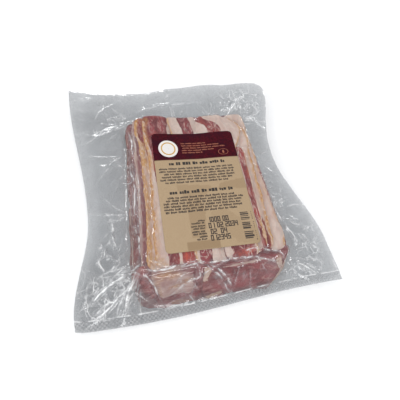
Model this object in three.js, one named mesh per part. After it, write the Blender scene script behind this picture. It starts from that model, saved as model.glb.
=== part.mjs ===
// A one-kilogram vacuum pack of sliced streaky bacon, lying flat with its label up: a clear pouch
// drawn tight over a block of slices, with a loose flange all round and a paper label on top.
//
// Millimetres, +Z up. The origin is the bottom centre of the pack's box. +X is the pack's right
// and +Y its far end. The header of the label is at the far end, the heat seal at the near end.

import * as THREE from "three";

// Pouch outline: a rectangle of film whose edges are pulled in by the vacuum
const POUCH_LEFT = -139.5;
const POUCH_RIGHT_NEAR = 141.5;
const POUCH_RIGHT_FAR = 137.5;
const POUCH_NEAR = -151;
const POUCH_FAR_LEFT = 149;
const POUCH_FAR_RIGHT = 155;
const LEFT_HOLLOW = { depth: 17, at: -42, below: 98, above: 185 };
const RIGHT_HOLLOW = { depth: 26, at: 25, below: 132, above: 128 };
const FAR_HOLLOW = { depth: 11, at: -66, below: 73, above: 110 };
const NEAR_SWELL = { height: 3, crest: -60, trough: 100 };
const FAR_RIGHT_RADIUS = 14;
const NEAR_LEFT_RADIUS = 5;

// Flange: two films pressed together, standing a little clear of the surface below
const FILM_THICKNESS = 1.2;
const FLANGE_HEIGHT = { near: 3.2, far: 13, left: 8.5, right: 10.5 };
const SIDE_SHARE = 0.5;
const SEAM_HEIGHT = { near: 4, far: 11 };
const RIM_REACH = 1 / 3;
const NEAR_RIGHT_LIFT = { height: 6, towardsRight: 6, towardsNear: 4 };
const RIPPLE = { height: 1, length: 62, slant: 0.6 };

// Block of slices: the deck is its flat top, the foot its outline where the films meet
const DECK = { leftFar: -62, leftNear: -71, right: 79, far: 79, near: -112 };
const FOOT = { leftFar: -77, leftNear: -87, rightFar: 87, rightNear: 97, far: 91, near: -143 };
const NEAR_RIGHT_CUT = { start: 50, length: 52, depth: 24 };
const NEAR_LEFT_CUT = { start: -56, length: 30, depth: 22 };
const DECK_CUT_SHARE = 0.3;
const BLOCK_HEIGHT = 30;
const CROWN = { height: 3.4, flatness: 0.8 };
const SADDLE = { depth: 3.2, at: 6, below: 50, above: 50, start: -40, end: 55 };
const STACK_STEPS = [
  { at: -55, side: -1, fall: 1.6, width: 10 },
  { at: 66, side: 1, fall: 1.4, width: 12 },
];
const BASE_ROUNDING = 12;

// Creases where slack film gathers, each a ridge along a line of plan points
const CREASES = [
  { line: [[-126, 58], [-91, 76], [-70, 84]], height: 3.2, width: 7 },
  { line: [[-57, 105], [-23, 115], [34, 118]], height: 2, width: 7 },
  { line: [[97, 130], [80, 109], [60, 88]], height: 3, width: 7 },
  { line: [[118, 62], [98, 80], [84, 88]], height: 2.4, width: 7 },
  { line: [[-110, 6], [-95, 27], [-80, 43]], height: 2.4, width: 7 },
  { line: [[97, -37], [89, -57], [95, -77], [108, -106]], height: 3, width: 7 },
  { line: [[91, -117], [103, -130], [120, -141]], height: 3, width: 7 },
  { line: [[-82, -104], [-100, -112], [-128, -138]], height: 3.2, width: 7 },
  { line: [[-76, -118], [-88, -128], [-94, -146]], height: 2.4, width: 7 },
];
const CREASE_FADE = 16;
const CREASE_END_SHARE = 0.35;

// Label: a standard 100 x 150 label laid on the film
const LABEL_WIDTH = 100;
const LABEL_LENGTH = 150;
const LABEL_RADIUS = 5;
const LABEL_THICKNESS = 0.4;
const LABEL_GAP = 0.35;
const LABEL_CENTRE = { x: 4.3, y: -24.6 };
const LABEL_TURN = THREE.MathUtils.degToRad(-1.6);

// Cells between the outline, foot and deck lines, from left to right and from near to far
const COLUMN_CELLS = [9, 4, 12, 4, 8];
const ROW_CELLS = [2, 6, 15, 4, 9];
const LABEL_CELLS = { across: 10, along: 14 };

const { lerp, clamp } = THREE.MathUtils;

function smooth(t) {
  const u = clamp(t, 0, 1);
  return u * u * (3 - 2 * u);
}

// A cosine hollow: 1 at its deepest point, 0 once past its reach on either side
function hollow(t, { depth, at, below, above }) {
  const reach = t < at ? below : above;
  const u = Math.min(Math.abs(t - at) / reach, 1);
  return depth * (0.5 + 0.5 * Math.cos(Math.PI * u));
}

function leftEdge(y) {
  return POUCH_LEFT + hollow(y, LEFT_HOLLOW);
}

function rightEdge(y) {
  const along = (y - POUCH_NEAR) / (POUCH_FAR_RIGHT - POUCH_NEAR);
  return lerp(POUCH_RIGHT_NEAR, POUCH_RIGHT_FAR, along) - hollow(y, RIGHT_HOLLOW);
}

function farEdge(x) {
  const along = (x - POUCH_LEFT) / (POUCH_RIGHT_FAR - POUCH_LEFT);
  return lerp(POUCH_FAR_LEFT, POUCH_FAR_RIGHT, along) - hollow(x, FAR_HOLLOW);
}

function nearEdge(x) {
  const phase = (x - NEAR_SWELL.crest) / (NEAR_SWELL.trough - NEAR_SWELL.crest);
  return POUCH_NEAR - NEAR_SWELL.height * Math.cos(Math.PI * phase);
}

function footLeft(y) {
  return lerp(FOOT.leftNear, FOOT.leftFar, smooth((y - FOOT.near) / (FOOT.far - FOOT.near)));
}

function footRight(y) {
  return lerp(FOOT.rightNear, FOOT.rightFar, smooth((y - FOOT.near) / (FOOT.far - FOOT.near)));
}

function deckLeft(y) {
  return lerp(DECK.leftNear, DECK.leftFar, (y - DECK.near) / (DECK.far - DECK.near));
}

// How far the block's near corners are cut back from the near edge
function nearCut(x) {
  const right = NEAR_RIGHT_CUT.depth * smooth((x - NEAR_RIGHT_CUT.start) / NEAR_RIGHT_CUT.length);
  const left = NEAR_LEFT_CUT.depth * smooth((NEAR_LEFT_CUT.start - x) / NEAR_LEFT_CUT.length);
  return right + left;
}

function footNear(x) {
  return FOOT.near + nearCut(x);
}

function deckNear(x) {
  return DECK.near + DECK_CUT_SHARE * nearCut(x);
}

// 0 outside the block's foot, rising to 1 over the given width inside each of its four sides
function blockShare(x, y, { left, right, near, far }) {
  const across = smooth((x - footLeft(y)) / left) * smooth((footRight(y) - x) / right);
  const along = smooth((y - footNear(x)) / near) * smooth((FOOT.far - y) / far);
  return across * along;
}

// Distance from a plan point to a line of plan points, and how far along it the nearest point is
function nearestOnLine(x, y, line) {
  let best = { distance: Infinity, toEnd: 0 };
  line.slice(1).forEach(([bx, by], i) => {
    const [ax, ay] = line[i];
    const length = Math.hypot(bx - ax, by - ay);
    const along = clamp(((x - ax) * (bx - ax) + (y - ay) * (by - ay)) / length, 0, length);
    const px = lerp(ax, bx, along / length);
    const py = lerp(ay, by, along / length);
    const distance = Math.hypot(x - px, y - py);
    const [sx, sy] = line[0];
    const [ex, ey] = line[line.length - 1];
    const toEnd = Math.min(Math.hypot(px - sx, py - sy), Math.hypot(px - ex, py - ey));
    if (distance < best.distance) best = { distance, toEnd };
  });
  return best;
}

function creaseHeight(x, y) {
  const ridge = ({ line, height, width }) => {
    const { distance, toEnd } = nearestOnLine(x, y, line);
    const fade = lerp(CREASE_END_SHARE, 1, smooth(toEnd / CREASE_FADE));
    return height * fade * Math.exp(-((distance / width) ** 2));
  };
  return CREASES.map(ridge).reduce((a, b) => a + b);
}

function flangeTop(x, y) {
  const along = smooth((y - POUCH_NEAR) / (POUCH_FAR_LEFT - POUCH_NEAR));
  const across = (x - POUCH_LEFT) / (POUCH_RIGHT_NEAR - POUCH_LEFT);
  const rim = lerp(FLANGE_HEIGHT.near, FLANGE_HEIGHT.far, along);
  const sides = lerp(FLANGE_HEIGHT.left, FLANGE_HEIGHT.right, across);
  const sideShare = SIDE_SHARE * Math.sin(Math.PI * along);
  const seam = lerp(SEAM_HEIGHT.near, SEAM_HEIGHT.far, along);
  const fromMiddle = Math.max(Math.abs(x) / POUCH_RIGHT_NEAR, Math.abs(y) / POUCH_FAR_LEFT);
  const outward = smooth((fromMiddle - RIM_REACH) / (1 - RIM_REACH));
  const { height, towardsRight, towardsNear } = NEAR_RIGHT_LIFT;
  const corner = height * clamp(across, 0, 1) ** towardsRight * (1 - along) ** towardsNear;
  const ripplePhase = (2 * Math.PI * (x + RIPPLE.slant * y)) / RIPPLE.length;
  const ripple = RIPPLE.height * along * Math.sin(ripplePhase);
  return lerp(seam, lerp(rim, sides, sideShare), outward) + corner + ripple + creaseHeight(x, y);
}

function deckTop(x, y) {
  const u = (2 * x - DECK.right - DECK.leftFar) / (DECK.right - DECK.leftFar);
  const v = (2 * y - DECK.far - DECK.near) / (DECK.far - DECK.near);
  const bulge = Math.sqrt(Math.cos((Math.PI / 2) * CROWN.flatness * clamp(v, -1, 1)));
  const crown = CROWN.height * bulge * (1 - (u * v) ** 2 / 4);
  const alongSaddle = smooth((y - SADDLE.start) / (SADDLE.end - SADDLE.start));
  const saddle = hollow(x, SADDLE) * alongSaddle;
  const step = ({ at, fall, width, side }) => fall * smooth(0.5 + (side * (x - at)) / width);
  const steps = STACK_STEPS.map(step).reduce((a, b) => a + b);
  return BLOCK_HEIGHT + crown - saddle - steps;
}

function bagTop(x, y) {
  const slopes = {
    left: deckLeft(y) - footLeft(y),
    right: footRight(y) - DECK.right,
    near: deckNear(x) - footNear(x),
    far: FOOT.far - DECK.far,
  };
  return lerp(flangeTop(x, y), deckTop(x, y), blockShare(x, y, slopes));
}

function bagBottom(x, y) {
  const rounding = { left: BASE_ROUNDING, right: BASE_ROUNDING, near: BASE_ROUNDING, far: BASE_ROUNDING };
  return lerp(flangeTop(x, y) - FILM_THICKNESS, 0, blockShare(x, y, rounding));
}

// Values from the first stop to the last, each span split into its own number of cells
function gridLines(stops, cells) {
  const lines = cells.flatMap((count, span) =>
    Array.from({ length: count }, (_, i) => lerp(stops[span], stops[span + 1], i / count)));
  return [...lines, stops[stops.length - 1]];
}

// Grid lines across and along depend on each other, so they settle in a few turns
function bagPlanPoint(column, row) {
  const SETTLING_TURNS = 6;
  let x = 0;
  let y = 0;
  for (let turn = 0; turn < SETTLING_TURNS; turn += 1) {
    const columns = [leftEdge(y), footLeft(y), deckLeft(y), DECK.right, footRight(y), rightEdge(y)];
    x = gridLines(columns, COLUMN_CELLS)[column];
    const rows = [nearEdge(x), footNear(x), deckNear(x), DECK.far, FOOT.far, farEdge(x)];
    y = gridLines(rows, ROW_CELLS)[row];
  }
  return roundedCorner(
    roundedCorner([x, y], [rightEdge(POUCH_FAR_RIGHT), POUCH_FAR_RIGHT], FAR_RIGHT_RADIUS),
    [POUCH_LEFT, nearEdge(POUCH_LEFT)], NEAR_LEFT_RADIUS);
}

// Draws the square corner of an outline, and what lies inside it, into a quarter disc
function roundedCorner([x, y], [cornerX, cornerY], radius) {
  const outX = Math.sign(cornerX);
  const outY = Math.sign(cornerY);
  const dx = (x - cornerX) * outX + radius;
  const dy = (y - cornerY) * outY + radius;
  if (dx <= 0 || dy <= 0) return [x, y];
  const pull = Math.max(dx, dy) / Math.hypot(dx, dy);
  return [x + outX * dx * (pull - 1), y + outY * dy * (pull - 1)];
}

// A closed solid between two surfaces over one grid of plan points
function sheetGeometry(columns, rows, planPoint, topHeight, bottomHeight) {
  const positions = [];
  for (const height of [topHeight, bottomHeight]) {
    for (let row = 0; row <= rows; row += 1) {
      for (let column = 0; column <= columns; column += 1) {
        const [x, y] = planPoint(column, row);
        positions.push(x, y, height(x, y));
      }
    }
  }
  const stride = columns + 1;
  const layer = stride * (rows + 1);
  const faces = [];
  const quad = (a, b, c, d) => faces.push(a, b, c, a, c, d);
  for (let row = 0; row < rows; row += 1) {
    for (let column = 0; column < columns; column += 1) {
      const a = row * stride + column;
      quad(a, a + 1, a + 1 + stride, a + stride);
      quad(a + layer, a + stride + layer, a + 1 + stride + layer, a + 1 + layer);
    }
  }
  const wall = (a, b) => quad(a, a + layer, b + layer, b);
  for (let column = 0; column < columns; column += 1) {
    wall(column, column + 1);
    wall(rows * stride + column + 1, rows * stride + column);
  }
  for (let row = 0; row < rows; row += 1) {
    wall((row + 1) * stride, row * stride);
    wall(row * stride + columns, (row + 1) * stride + columns);
  }
  const geometry = new THREE.BufferGeometry();
  geometry.setAttribute("position", new THREE.Float32BufferAttribute(positions, 3));
  geometry.setIndex(faces);
  geometry.computeVertexNormals();
  return geometry;
}

function makeBag() {
  const columns = COLUMN_CELLS.reduce((a, b) => a + b);
  const rows = ROW_CELLS.reduce((a, b) => a + b);
  const film = new THREE.MeshStandardMaterial({
    color: 0xb6b8ba, roughness: 0.2, metalness: 0, transparent: true, opacity: 0.5,
  });
  const bag = new THREE.Mesh(sheetGeometry(columns, rows, bagPlanPoint, bagTop, bagBottom), film);
  bag.name = "vacuum_bag";
  return bag;
}

function labelPlanPoint(column, row) {
  const half = [LABEL_WIDTH / 2, LABEL_LENGTH / 2];
  let point = [
    lerp(-half[0], half[0], column / LABEL_CELLS.across),
    lerp(-half[1], half[1], row / LABEL_CELLS.along),
  ];
  for (const sideX of [-1, 1]) {
    for (const sideY of [-1, 1]) {
      point = roundedCorner(point, [sideX * half[0], sideY * half[1]], LABEL_RADIUS);
    }
  }
  const turned = new THREE.Vector2(...point).rotateAround(new THREE.Vector2(), LABEL_TURN);
  return [turned.x + LABEL_CENTRE.x, turned.y + LABEL_CENTRE.y];
}

function makeLabel() {
  const underside = (x, y) => bagTop(x, y) + LABEL_GAP;
  const face = (x, y) => underside(x, y) + LABEL_THICKNESS;
  const { across, along } = LABEL_CELLS;
  const paper = new THREE.MeshStandardMaterial({ color: 0xbca486, roughness: 0.75, metalness: 0 });
  const label = new THREE.Mesh(sheetGeometry(across, along, labelPlanPoint, face, underside), paper);
  label.name = "label";
  return label;
}

const group = new THREE.Group();
group.add(makeBag(), makeLabel());
const bounds = new THREE.Box3().setFromObject(group);
const middle = bounds.getCenter(new THREE.Vector3());
group.position.set(-middle.x, -middle.y, -bounds.min.z);

export default group;
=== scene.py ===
"""Looks of the vacuum pack of sliced streaky bacon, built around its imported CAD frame.

Every length in this file is in millimetres in the frame's axes, and MM turns it into Blender's
metres: +Y is the far end of the pack, where the label's header is, and +X its right side.
The pouch's outline and its upper and lower surfaces come from the CAD solid; the slices are laid
under that surface, and the film is then drawn over them.
"""

import math

import bpy
import numpy as np
from mathutils import Matrix, Vector
from mathutils.bvhtree import BVHTree


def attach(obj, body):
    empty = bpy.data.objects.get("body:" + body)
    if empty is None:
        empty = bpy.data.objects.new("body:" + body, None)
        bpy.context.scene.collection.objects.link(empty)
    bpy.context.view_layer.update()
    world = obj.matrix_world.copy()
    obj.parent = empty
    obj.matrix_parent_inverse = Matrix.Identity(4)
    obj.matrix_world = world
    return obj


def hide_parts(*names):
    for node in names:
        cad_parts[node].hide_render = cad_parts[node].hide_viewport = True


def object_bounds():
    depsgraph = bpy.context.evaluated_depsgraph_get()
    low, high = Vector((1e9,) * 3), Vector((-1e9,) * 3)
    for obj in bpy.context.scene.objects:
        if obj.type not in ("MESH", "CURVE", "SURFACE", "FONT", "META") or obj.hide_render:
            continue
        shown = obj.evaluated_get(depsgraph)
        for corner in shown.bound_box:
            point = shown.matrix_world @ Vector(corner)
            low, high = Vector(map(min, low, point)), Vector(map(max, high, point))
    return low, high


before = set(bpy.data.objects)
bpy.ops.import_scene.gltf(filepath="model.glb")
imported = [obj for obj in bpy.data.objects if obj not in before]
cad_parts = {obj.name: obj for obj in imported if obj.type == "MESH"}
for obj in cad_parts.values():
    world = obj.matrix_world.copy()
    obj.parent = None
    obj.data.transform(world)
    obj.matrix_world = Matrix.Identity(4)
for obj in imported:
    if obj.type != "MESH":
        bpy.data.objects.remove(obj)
cad_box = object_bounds()

MM = 0.001
BOX_LOW, BOX_HIGH = (corner / MM for corner in cad_box)
BODY = "root"
BAG = "vacuum_bag"
LABEL = "label"


# ---- fields over the plan

FIELD_STEP = 1.0
FIELD_MARGIN = 6.0
RAY_HEIGHT = 100.0


def smooth(t):
    """0 below 0, 1 above 1, and an S-curve between."""
    t = np.clip(t, 0.0, 1.0)
    return t * t * (3.0 - 2.0 * t)


def blend(a, b, share):
    return a + (b - a) * share


def along_curve(y, points):
    """A smooth value that passes through a few (y, value) points."""
    points = sorted(points)
    ys = np.array([p[0] for p in points], float)
    values = np.array([p[1] for p in points], float)
    slopes = np.gradient(values, ys) if len(ys) > 2 else np.full(2, np.diff(values) / np.diff(ys))
    y = np.clip(y, ys[0], ys[-1])
    i = np.clip(np.searchsorted(ys, y, side="right") - 1, 0, len(ys) - 2)
    h = ys[i + 1] - ys[i]
    t = (y - ys[i]) / h
    low = (1 + 2 * t) * (1 - t) ** 2 * values[i] + t * (1 - t) ** 2 * h * slopes[i]
    high = t * t * (3 - 2 * t) * values[i + 1] + t * t * (t - 1) * h * slopes[i + 1]
    return low + high


def noise(x, y, cell, seed):
    """Smooth random field, about -1 to 1, whose features are one cell wide."""
    table = np.random.default_rng(seed).uniform(0, 2 * np.pi, (64, 64))
    u, v = np.asarray(x, float) / cell, np.asarray(y, float) / cell
    iu, iv = np.floor(u).astype(int), np.floor(v).astype(int)
    fu, fv = u - iu, v - iv
    su, sv = fu**3 * (fu * (fu * 6 - 15) + 10), fv**3 * (fv * (fv * 6 - 15) + 10)

    def corner(du, dv):
        angle = table[(iu + du) % 64, (iv + dv) % 64]
        return np.cos(angle) * (fu - du) + np.sin(angle) * (fv - dv)

    near = blend(corner(0, 0), corner(1, 0), su)
    far = blend(corner(0, 1), corner(1, 1), su)
    return 1.6 * blend(near, far, sv)


def layered_noise(x, y, cell, seed, octaves=3):
    return sum(noise(x, y, cell / 2**k, seed + k) / 2**k for k in range(octaves))


def facets(x, y, cell, seed):
    """Distances to the nearest and second nearest of scattered points, in cells: crumpled facets."""
    rng = np.random.default_rng(seed)
    jitter = rng.uniform(0, 1, (64, 64, 2))
    u, v = np.asarray(x, float) / cell, np.asarray(y, float) / cell
    iu, iv = np.floor(u).astype(int), np.floor(v).astype(int)
    first = np.full(u.shape, 9.0)
    second = np.full(u.shape, 9.0)
    for du in (-1, 0, 1):
        for dv in (-1, 0, 1):
            a, b = (iu + du) % 64, (iv + dv) % 64
            d = np.hypot(iu + du + jitter[a, b, 0] - u, iv + dv + jitter[a, b, 1] - v)
            second = np.where(d < first, first, np.minimum(second, d))
            first = np.minimum(first, d)
    return first, second


class Field:
    """Heights on a square grid over the plan, read with bilinear interpolation."""

    def __init__(self, xs, ys, values):
        self.xs, self.ys, self.values = xs, ys, values

    def __call__(self, x, y):
        u = np.clip((x - self.xs[0]) / FIELD_STEP, 0, len(self.xs) - 1.001)
        v = np.clip((y - self.ys[0]) / FIELD_STEP, 0, len(self.ys) - 1.001)
        i, j = u.astype(int), v.astype(int)
        fu, fv = u - i, v - j
        z = self.values
        near = z[j, i] * (1 - fu) + z[j, i + 1] * fu
        far = z[j + 1, i] * (1 - fu) + z[j + 1, i + 1] * fu
        return near * (1 - fv) + far * fv

    def mesh(self):
        return np.meshgrid(self.xs, self.ys)

    def like(self, values):
        return Field(self.xs, self.ys, values)

    def blurred(self, width):
        return self.like(blur(self.values, width / FIELD_STEP))


def bell(sigma):
    """Weights of a Gaussian blur, and how many cells they reach to each side."""
    reach = max(1, int(3 * sigma))
    kernel = np.exp(-0.5 * (np.arange(-reach, reach + 1) / sigma) ** 2)
    return kernel / kernel.sum(), reach


def blur(values, sigma):
    """Gaussian blur of a grid, with its edges held."""
    kernel, reach = bell(sigma)
    for axis in (0, 1):
        pad = [(reach, reach) if a == axis else (0, 0) for a in (0, 1)]
        wide = np.pad(values, pad, mode="edge")
        size = values.shape[axis]
        values = sum(k * np.take(wide, range(n, n + size), axis) for n, k in enumerate(kernel))
    return values


def spread(mask, radius):
    """A mask grown by a radius, in cells."""
    reach = int(math.ceil(radius))
    wide = np.pad(mask, reach)
    rows, columns = mask.shape
    grown = np.zeros_like(mask)
    for dj in range(-reach, reach + 1):
        for di in range(-reach, reach + 1):
            if di * di + dj * dj <= radius * radius:
                grown = np.maximum(grown, wide[reach + dj:][:rows, reach + di:][:, :columns])
    return grown


def cad_surface(node):
    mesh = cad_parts[node].data
    points = [v.co / MM for v in mesh.vertices]
    return BVHTree.FromPolygons(points, [tuple(p.vertices) for p in mesh.polygons])


def cad_field(tree, down):
    """The CAD solid's upper or lower surface; beyond its rim, the nearest rim height."""
    xs, ys = (np.arange(math.floor(BOX_LOW[k] - FIELD_MARGIN), BOX_HIGH[k] + FIELD_MARGIN, FIELD_STEP)
              for k in (0, 1))
    start, way = (RAY_HEIGHT, -1) if down else (-RAY_HEIGHT, 1)
    values = np.empty((len(ys), len(xs)))
    for j, y in enumerate(ys):
        for i, x in enumerate(xs):
            hit = tree.ray_cast((x, y, start), (0, 0, way))[0]
            values[j, i] = hit.z if hit else tree.find_nearest((x, y, 0.3 * BOX_HIGH.z))[0].z
    return Field(xs, ys, values)


# The far ends of the left slices bulge past the even slope of the CAD block: place, size, height
MOUND = ((-40, 83), (19, 6), 5.0)


def with_mound(field):
    (cx, cy), (width, depth), height = MOUND
    x, y = field.mesh()
    return field.like(field.values + height * np.exp(-(((x - cx) / width) ** 2) - ((y - cy) / depth) ** 2))


bag_tree = cad_surface(BAG)
cad_top = with_mound(cad_field(bag_tree, down=True))
cad_bottom = cad_field(bag_tree, down=False)
cad_depth = cad_top.values - cad_bottom.values


# ---- the pouch's outline and grid

WALL_SLOPE = 0.02
RIM_POINTS = 600
RIM_SMOOTHING = 5.0
BOX_INSET = 0.01


def bag_rim():
    """The near, right, far and left edges of the pouch in plan, from the walls of the CAD solid."""
    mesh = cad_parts[BAG].data
    on_wall = {v for p in mesh.polygons if abs(p.normal.z) < WALL_SLOPE for v in p.vertices}
    plan = np.unique(np.round([[*(mesh.vertices[v].co.xy / MM)] for v in on_wall], 2), axis=0)
    plan = plan[np.argsort(np.arctan2(plan[:, 1], plan[:, 0]))]
    corners = [int(np.argmax(plan @ way)) for way in ((-1, -1), (1, -1), (1, 1), (-1, 1))]
    edges = []
    for start, end in zip(corners, corners[1:] + corners[:1]):
        count = (end - start) % len(plan)
        edges.append(even_points(plan[[(start + k) % len(plan) for k in range(count + 1)]]))
    return edges[0], edges[1], edges[2][::-1], edges[3][::-1]


def even_points(line):
    """Evenly spaced points along a line, rounded a little between its fixed ends."""
    lengths = np.r_[0, np.cumsum(np.hypot(*np.diff(line, axis=0).T))]
    at = np.linspace(0, lengths[-1], RIM_POINTS)
    points = np.stack([np.interp(at, lengths, line[:, k]) for k in (0, 1)], 1)
    kernel, reach = bell(RIM_SMOOTHING * RIM_POINTS / lengths[-1])
    before, after = 2 * points[:1] - points[reach:0:-1], 2 * points[-1:] - points[-2:-reach - 2:-1]
    wide = np.concatenate([before, points, after])
    return np.stack([np.convolve(wide[:, k], kernel, "valid") for k in (0, 1)], 1)


rim = bag_rim()


def plan_grid(columns, rows):
    """Plan points of a grid stretched between the pouch's four edges."""
    near, right, far, left = rim
    s, t = np.linspace(0, 1, columns + 1), np.linspace(0, 1, rows + 1)

    def on(edge, at):
        place = at * (RIM_POINTS - 1)
        return np.stack([np.interp(place, np.arange(RIM_POINTS), edge[:, k]) for k in (0, 1)], 1)

    n, f, l, r = on(near, s)[None], on(far, s)[None], on(left, t)[:, None], on(right, t)[:, None]
    s, t = s[None, :, None], t[:, None, None]
    straight = (1 - s) * (1 - t) * near[0] + s * (1 - t) * near[-1] + (1 - s) * t * far[0] + s * t * far[-1]
    points = (1 - t) * n + t * f + (1 - s) * l + s * r - straight
    return [np.clip(points[..., k], BOX_LOW[k] + BOX_INSET, BOX_HIGH[k] - BOX_INSET) for k in (0, 1)]


# ---- meshes

def add_mesh(name, points, faces, values=None, flat=False):
    """A mesh object of millimetre points, with named values at its points."""
    mesh = bpy.data.meshes.new(name)
    mesh.from_pydata((np.asarray(points, float) * MM).tolist(), [], np.asarray(faces).tolist())
    for key, data in (values or {}).items():
        kind, field = ("FLOAT_VECTOR", "vector") if np.ndim(data) == 2 else ("FLOAT", "value")
        mesh.attributes.new(key, kind, "POINT").data.foreach_set(field, np.ravel(data).astype(np.float32))
    if not flat:
        mesh.polygons.foreach_set("use_smooth", np.ones(len(mesh.polygons), bool))
    mesh.update()
    piece = bpy.data.objects.new(name, mesh)
    bpy.context.scene.collection.objects.link(piece)
    return piece


def grid_faces(rows, columns, first=0, flip=False):
    """Quads over a grid of points that is rows by columns points large."""
    index = first + np.arange(rows * columns).reshape(rows, columns)
    a, b, c, d = index[:-1, :-1], index[:-1, 1:], index[1:, 1:], index[1:, :-1]
    return np.stack([a, d, c, b] if flip else [a, b, c, d], -1).reshape(-1, 4)


def twice(values):
    """Values of a grid for both layers of a closed sheet."""
    return np.concatenate([values.ravel(), values.ravel()])


def closed_sheet(top, bottom):
    """Points and faces of a closed piece between two grids of the same plan."""
    rows, columns = top.shape[:2]
    points = np.concatenate([top.reshape(-1, 3), bottom.reshape(-1, 3)])
    layer = rows * columns
    index = np.arange(layer).reshape(rows, columns)
    ring = np.concatenate([index[0, :-1], index[:-1, -1], index[-1, :0:-1], index[:0:-1, 0]])
    after = np.roll(ring, -1)
    walls = np.stack([ring, ring + layer, after + layer, after], -1)
    faces = np.concatenate([grid_faces(rows, columns), grid_faces(rows, columns, layer, flip=True), walls])
    return points, faces


# ---- materials

class Wire:
    """One output of a material's nodes; arithmetic on it adds Math nodes."""

    def __init__(self, nodes, socket):
        self.nodes, self.socket = nodes, socket

    def __add__(self, other):
        return self.nodes.math("ADD", self, other)

    def __sub__(self, other):
        return self.nodes.math("SUBTRACT", self, other)

    def __rsub__(self, other):
        return self.nodes.math("SUBTRACT", other, self)

    def __mul__(self, other):
        return self.nodes.math("MULTIPLY", self, other)

    def __pow__(self, other):
        return self.nodes.math("POWER", self, other)

    def __abs__(self):
        return self.nodes.math("ABSOLUTE", self)


class Nodes:
    """One material, with short calls that add and link its nodes."""

    def __init__(self, name):
        self.material = bpy.data.materials.new(name)
        self.material.use_nodes = True
        self.tree = self.material.node_tree
        self.shader = self.tree.nodes["Principled BSDF"]

    def put(self, socket, value):
        if isinstance(value, Wire):
            self.tree.links.new(value.socket, socket)
        elif value is not None:
            socket.default_value = value

    def surface(self, inputs):
        """Sets the shader's inputs and gives the finished material."""
        for name, value in inputs.items():
            self.put(self.shader.inputs[name], value)
        return self.material

    def add(self, kind, output, inputs, **settings):
        """A new node's output; its inputs are given by name or number."""
        node = self.tree.nodes.new("ShaderNode" + kind)
        for name, value in settings.items():
            setattr(node, name, value)
        for name, value in inputs.items():
            self.put(node.inputs[name], value)
        return Wire(self, node.outputs[output])

    def attribute(self, name, output="Fac"):
        return self.add("Attribute", output, {}, attribute_name=name)

    def place(self):
        """Object coordinates in millimetres."""
        return self.stretch(self.add("TexCoord", "Object", {}), (1 / MM, 1 / MM, 1 / MM))

    def stretch(self, vector, scale):
        return self.add("Mapping", "Vector", {"Vector": vector, "Scale": scale})

    def noise(self, vector, scale, detail=3.0, roughness=0.55, distortion=0.0, output="Fac"):
        return self.add("TexNoise", output, {"Vector": vector, "Scale": scale, "Detail": detail,
                                             "Roughness": roughness, "Distortion": distortion})

    def warp(self, vector, scale, reach):
        """The vector moved about by up to reach, as a smooth noise says."""
        move = self.noise(vector, scale, 2.0, 0.5, output="Color")
        return self.add("VectorMath", "Vector", {0: move, 1: (reach, reach, reach), 2: vector},
                        operation="MULTIPLY_ADD")

    def cells(self, vector, scale):
        """Distance to the nearest border of scattered cells, in cells."""
        return self.add("TexVoronoi", "Distance", {"Vector": vector, "Scale": scale},
                        feature="DISTANCE_TO_EDGE")

    def math(self, operation, a, b=None, clamp=False):
        return self.add("Math", "Value", {0: a, 1: b}, operation=operation, use_clamp=clamp)

    def most(self, a, b):
        return self.math("MAXIMUM", a, b)

    def ramp(self, value, low, high, start=0.0, end=1.0):
        """Maps low..high to start..end along an S-curve."""
        inputs = {"Value": value, "From Min": low, "From Max": high, "To Min": start, "To Max": end}
        return self.add("MapRange", "Result", inputs, interpolation_type="SMOOTHSTEP")

    def mix(self, share, a, b):
        return self.add("Mix", "Result", {"Factor": share, "A": a, "B": b}, data_type="RGBA")

    def mix_shader(self, share, a, b):
        return self.add("MixShader", "Shader", {"Fac": share, 1: a, 2: b})

    def bump(self, height, distance, strength):
        return self.add("Bump", "Normal", {"Strength": strength, "Distance": distance * MM, "Height": height})


def colour(red, green, blue):
    """A display colour of 0 to 255 as the linear colour that the shaders use."""
    shares = (red / 255, green / 255, blue / 255)
    return (*(s / 12.92 if s <= 0.04045 else ((s + 0.055) / 1.055) ** 2.4 for s in shares), 1.0)


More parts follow.
